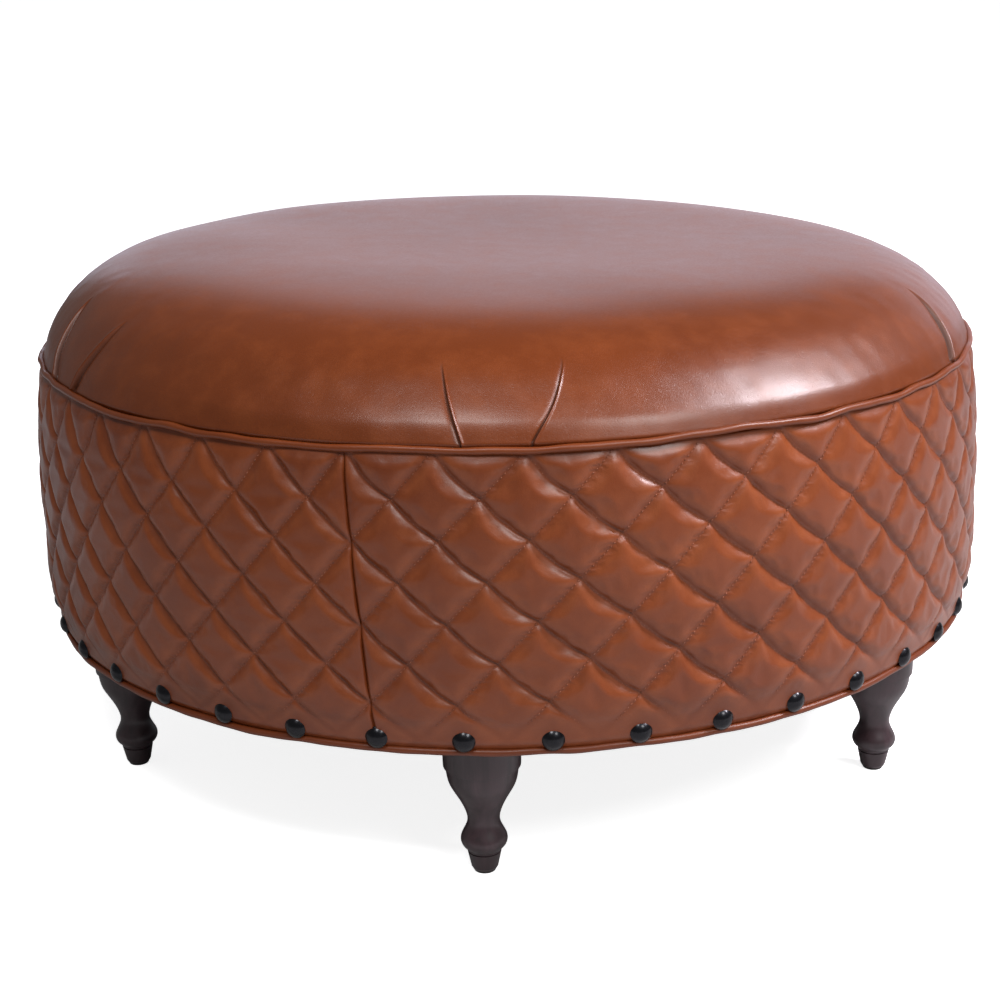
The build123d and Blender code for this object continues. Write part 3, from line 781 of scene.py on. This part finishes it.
def make_seat(material):
    columns = seat_columns()
    r, z, along = seat_profile()
    r, z, along = r[:-1], z[:-1], along[:-1]
    base, distance = np.meshgrid(columns, along)
    radius = np.repeat(r[:, None], len(columns), 1)
    height = np.repeat(z[:, None], len(columns), 1)
    azimuth = base.copy()
    relief = np.zeros_like(base)
    crease = np.zeros_like(base)
    reach = np.clip(distance / TUCK_LENGTH, 0, 1)
    for number, (tuck, lean) in enumerate(tuck_azimuths()):
        away = (base - tuck + 180) % 360 - 180
        outwards = away * lean
        window = np.where(outwards > 0, 1 - smooth_step(outwards, 0.5, 12.0),
                          1 - smooth_step(-outwards, 0.6, TUCK_SPREAD))
        length = 1 + rng.uniform(-0.10, 0.10)
        wide_fold = FRONT_FOLD if abs(tuck) < 20 else OTHER_FOLD
        facing = -1 if 200 < tuck % 360 < 340 else 1
        curve = reach + 0.10 * np.sin(reach * math.pi) * (1 if number % 2 else 0.4)
        azimuth += lean * TUCK_FAN * (FIRST_TUCK_LEAN if number == 0 else 1.0) * curve * window
        x = facing * np.radians(away) * TUCK_R / wide_fold
        share = np.clip(distance / (TUCK_LENGTH * length), 0, 1)
        strength = 0.78 * (1 - share ** 2.0)
        valley = np.where(x < 0, np.exp(-(np.abs(x) / 0.0030) ** 1.2), 1 - smooth_step(x, 0.0, 0.0014))
        fold = np.exp(-((x - 0.0023) / 0.0012) ** 2)
        lip = fold + 0.25 * smooth_step(x, 0.0003, 0.0024) * np.exp(-(np.clip(x, 0, 1) / 0.008) ** 1.3)
        wide = np.exp(-(x / 0.020) ** 2)
        relief += wide_fold * strength * (TUCK_LIP * lip - TUCK_DEPTH * valley - 0.0008 * wide)
        # crease: the mask for the painted shade in each tuck's valley
        crease = np.maximum(crease, strength ** 0.5 * np.exp(-((x + 0.0003) / 0.0016) ** 2) * (share < 1))
    x, y = radius * np.sin(np.radians(azimuth)), -radius * np.cos(np.radians(azimuth))
    slope_r = np.gradient(r, along)
    slope_z = np.gradient(z, along)
    normal_out, normal_up = slope_z[:, None], -slope_r[:, None]
    shape = Waves(0.26)
    gather = Waves(0.045, 18)
    middle = smooth_step(distance, 0.02, 0.14)
    relief += SEAT_SWELL * smooth_step(distance, -0.004, 0.024) * (1 - smooth_step(distance, 0.03, 0.10))
    relief += 0.0004 * shape(x, y) * middle
    relief += 0.00012 * gather(x * 1.6, y * 1.6) * (1 - smooth_step(distance, 0.05, 0.16))
    radius2 = radius + relief * normal_out
    height2 = height + relief * normal_up
    height2 += seat_settling(x, y, height)
    radius2[0] = SEAM_R - 0.0010
    height2[0] = SEAM_Z + 0.0010
    outer = azimuth_point(azimuth, radius2, height2)
    rows = len(r)
    count = len(columns)
    points = [outer.reshape(-1, 3), [[0, 0, height2[-1].mean()]]]
    faces = grid_faces(rows, count, closed=True)
    tip = rows * count
    faces += [[(rows - 1) * count + k, (rows - 1) * count + (k + 1) % count, tip] for k in range(count)]
    inner_r, inner_z = (values[:-1] for values in seat_profile(SEAT_LEATHER + TUCK_DEPTH, 26)[:2])
    first = tip + 1
    a2, r2 = np.meshgrid(columns, inner_r)
    z2 = np.repeat(inner_z[:, None], count, 1)
    z2 += seat_settling(r2 * np.sin(np.radians(a2)), -r2 * np.cos(np.radians(a2)), z2)
    points += [azimuth_point(a2, r2, z2).reshape(-1, 3)]
    points += [[[0, 0, z2[-1].mean()]]]
    faces += grid_faces(len(inner_r), count, first, closed=True, flip=True)
    inner_tip = first + len(inner_r) * count
    last = first + (len(inner_r) - 1) * count
    faces += [[last + (k + 1) % count, last + k, inner_tip] for k in range(count)]
    faces += [[(k + 1) % count, k, first + k, first + (k + 1) % count] for k in range(count)]
    obj = new_mesh("seat_leather_cover", np.concatenate(points), faces)
    # The crease attribute carries the painted shade of the tuck valleys to the seat leather.
    values = np.zeros(len(obj.data.vertices), np.float32)
    values[:crease.size] = crease.ravel()
    obj.data.attributes.new("crease", "FLOAT", "POINT").data.foreach_set("value", values)
    dress(obj, material, ["seat_cover"])


# ---------------------------------------------------------------- soft layers inside
def crown_layer(inset, edge_height, columns, rows):
    """Points of a seat layer under the leather, from its edge to the last ring before the middle."""
    r, z, along = (values[:-1] for values in seat_profile(inset, rows))
    azimuth, radius = np.meshgrid(columns, r)
    height = np.maximum(np.repeat(z[:, None], len(columns), 1), edge_height)
    x, y = radius * np.sin(np.radians(azimuth)), -radius * np.cos(np.radians(azimuth))
    height = height + seat_settling(x, y, height) * smooth_step(along, 0.0, 0.02)[:, None]
    return azimuth, radius, height, x, y


def make_crown_pad(name, outer_inset, inner_inset, edge_height, material, node):
    """A layer of the seat that follows the leather; without an inner inset it is solid down to its base."""
    columns = np.linspace(0, 360, 144, endpoint=False)
    count, rows = len(columns), 34
    lumps = Waves(0.05, 20)
    azimuth, radius, height, x, y = crown_layer(outer_inset, edge_height, columns, rows)
    height = height + 0.0005 * lumps(x, y) - 0.0005
    shells = [(azimuth, radius, height)]
    if inner_inset:
        shells.append(crown_layer(inner_inset, edge_height, columns, rows)[:3])
    else:
        flat_r = np.linspace(radius[0, 0], 0, rows)[:-1]
        azimuth, flat = np.meshgrid(columns, flat_r)
        shells.append((azimuth, flat, np.full_like(flat, edge_height)))
    points, faces, tips = [], [], []
    for number, (a, r, z) in enumerate(shells):
        first = number * (a.size + 1)
        points += [azimuth_point(a, r, z).reshape(-1, 3), [[0, 0, z[-1].mean()]]]
        faces += grid_faces(a.shape[0], count, first, closed=True, flip=bool(number))
        last, tip = first + (a.shape[0] - 1) * count, first + a.size
        ring = [[last + k, last + (k + 1) % count, tip] for k in range(count)]
        faces += [face[::-1] for face in ring] if number else ring
        tips.append(first)
    faces += [[(k + 1) % count, k, tips[1] + k, tips[1] + (k + 1) % count] for k in range(count)]
    obj = dress(new_mesh(name, np.concatenate(points), faces), material, [node])


def make_side_padding(material):
    """Fibre padding round the board, behind the quilted leather."""
    low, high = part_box("side_padding")
    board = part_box("side_board")[1].x
    heights = np.linspace(low.z, high.z, 40)
    azimuth, z = np.meshgrid(np.linspace(0, 360, 360, endpoint=False), heights)
    lumps = Waves(0.03, 20)
    reach = np.radians(azimuth) * PADDING_R
    soft = 0.0006 * lumps(reach, z) - 0.0006
    inside = [np.full(azimuth.shape[1], board + 0.0003)] * 2
    rings = np.vstack([wall_radius(z) - BAND_THICKNESS - PADDING_GAP + soft, *inside])
    levels = np.vstack([z, np.full_like(z[0], high.z), np.full_like(z[0], low.z)])
    azimuths = np.vstack([azimuth, azimuth[:2]])
    faces = grid_faces(len(rings) + 1, azimuth.shape[1], closed=True)
    faces = [[index % rings.size for index in face] for face in faces]
    obj = new_mesh("side_fibre_padding", azimuth_point(azimuths, rings, levels), faces)
    dress(obj, material, ["side_padding"])


# ---------------------------------------------------------------- underside cloth
def make_dust_cover(material):
    """Thin black cloth, stapled round its edge and sagging a little in the middle."""
    low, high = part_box("dust_cover")
    reach = high.x
    rings, count = 26, 192
    r = reach * np.linspace(1, 0, rings + 1)[:-1]
    azimuth = np.linspace(0, 360, count, endpoint=False)
    aa, rr = np.meshgrid(azimuth, r)
    slack = Waves(0.16)
    x, y = rr * np.sin(np.radians(aa)), -rr * np.cos(np.radians(aa))
    free = reach - DUST_CLOTH_HELD
    hang = DUST_CLOTH_SAG * np.clip(1 - (rr / free) ** 2, 0, 1)
    hang = hang + 0.0006 * slack(x, y) * smooth_step(free - rr, 0.0, 0.08)
    sheets = []
    for level in (high.z, low.z):
        sheets.append(azimuth_point(aa, rr, level - hang).reshape(-1, 3))
        sheets.append(np.array([[0, 0, level - DUST_CLOTH_SAG]]))
    total = rings * count + 1
    faces = grid_faces(rings, count, 0, closed=True) + grid_faces(rings, count, total, closed=True, flip=True)
    inner = (rings - 1) * count
    for k in range(count):
        n = (k + 1) % count
        faces += [[inner + k, inner + n, total - 1],
                  [total + inner + n, total + inner + k, 2 * total - 1],
                  [n, k, total + k, total + n]]
    obj = dress(new_mesh("dust_cloth", np.concatenate(sheets), faces), material, ["dust_cover"])


# ---------------------------------------------------------------- putting it together
make_camera()
make_studio()

SEAT_DARK = (0.104, 0.019, 0.0018, 1)
SEAT_MID = (0.164, 0.032, 0.0032, 1)
SEAT_LIGHT = (0.240, 0.055, 0.0090, 1)
BAND_DARK = (0.138, 0.026, 0.0040, 1)
BAND_MID = (0.198, 0.041, 0.0068, 1)
BAND_LIGHT = (0.270, 0.066, 0.016, 1)
BASE_PIPING_DARK = (0.130, 0.027, 0.006, 1)
seat_leather = leather("seat_leather", SEAT_DARK, SEAT_MID, SEAT_LIGHT, 0.35, 0.18)
piping_leather = leather("piping_leather", BAND_DARK, SEAT_MID, SEAT_LIGHT, 0.40, 0.10)
base_piping_leather = leather("base_piping_leather", BASE_PIPING_DARK, BAND_DARK, BAND_MID, 0.42, 0.10)
band_leather = quilted_leather("band_leather", BAND_DARK, BAND_MID, BAND_LIGHT, 0.38, 0.20)
stitch_thread = thread("stitch_thread", (0.17, 0.044, 0.016, 1), (0.31, 0.105, 0.052, 1))
cotton = woven("cotton", (0.66, 0.62, 0.52, 1), (0.88, 0.85, 0.77, 1), 0.0016)
foam = fluffy("foam", (0.70, 0.62, 0.42, 1), (0.88, 0.81, 0.62, 1), 700.0)
fibre = fluffy("fibre_wrap", (0.75, 0.75, 0.73, 1), (0.92, 0.92, 0.90, 1), 350.0)

make_seat(seat_leather)
for number in range(PANELS):
    band = Band(number)
    make_panel(band, band_leather)
    make_stitches(band, stitch_thread)
make_piping("seat_piping", SEAM_R, SEAM_Z, piping_leather, cotton, "top_piping", 0.0016)
make_piping("base_piping", BASE_R, BASE_Z, base_piping_leather, cotton, "bottom_piping", 0.0008)
make_crown_pad("seat_fibre_wrap", 0.0068, 0.0115, SEAT_EDGE, fibre, "seat_wrap")
make_crown_pad("seat_foam_pad", 0.0132, None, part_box("seat_foam")[0].z, foam, "seat_foam")
make_side_padding(fibre)
make_dust_cover(woven("dust_cloth", (0.010, 0.010, 0.011, 1), (0.030, 0.030, 0.033, 1), 0.0012))

CAD_LOOKS = {
    "leg_wood": wood("leg_wood", (0.020, 0.010, 0.012, 1), (0.058, 0.030, 0.036, 1), 0.38, 2, 0.22),
    "nail_metal": metal("nail_metal", (0.008, 0.008, 0.011, 1), 0.75, 0.30, 0.25),
    "plywood": wood("plywood", (0.42, 0.27, 0.14, 1), (0.66, 0.48, 0.29, 1), 0.65, 0),
    "softwood": wood("softwood", (0.50, 0.33, 0.17, 1), (0.72, 0.54, 0.33, 1), 0.7, 2),
    "fibreboard": fluffy("fibreboard", (0.26, 0.18, 0.11, 1), (0.42, 0.31, 0.20, 1), 900.0),
    "hessian": woven("hessian", (0.34, 0.25, 0.14, 1), (0.58, 0.46, 0.29, 1), 0.0024),
    "webbing": woven("webbing", (0.26, 0.18, 0.10, 1), (0.50, 0.38, 0.23, 1), 0.0018),
    "zinc_steel": metal("zinc_steel", (0.55, 0.56, 0.57, 1), 1.0, 0.32),
    "nylon": metal("nylon", (0.030, 0.027, 0.027, 1), 0.0, 0.5),
}
for subpart in frame["record"]["subparts"]:
    look = CAD_LOOKS.get(subpart["material_slot"])
    if look:
        mesh = frame["nodes"][subpart["node"]].data
        for index in range(len(mesh.materials)):
            mesh.materials[index] = look
        if not mesh.materials:
            mesh.materials.append(look)
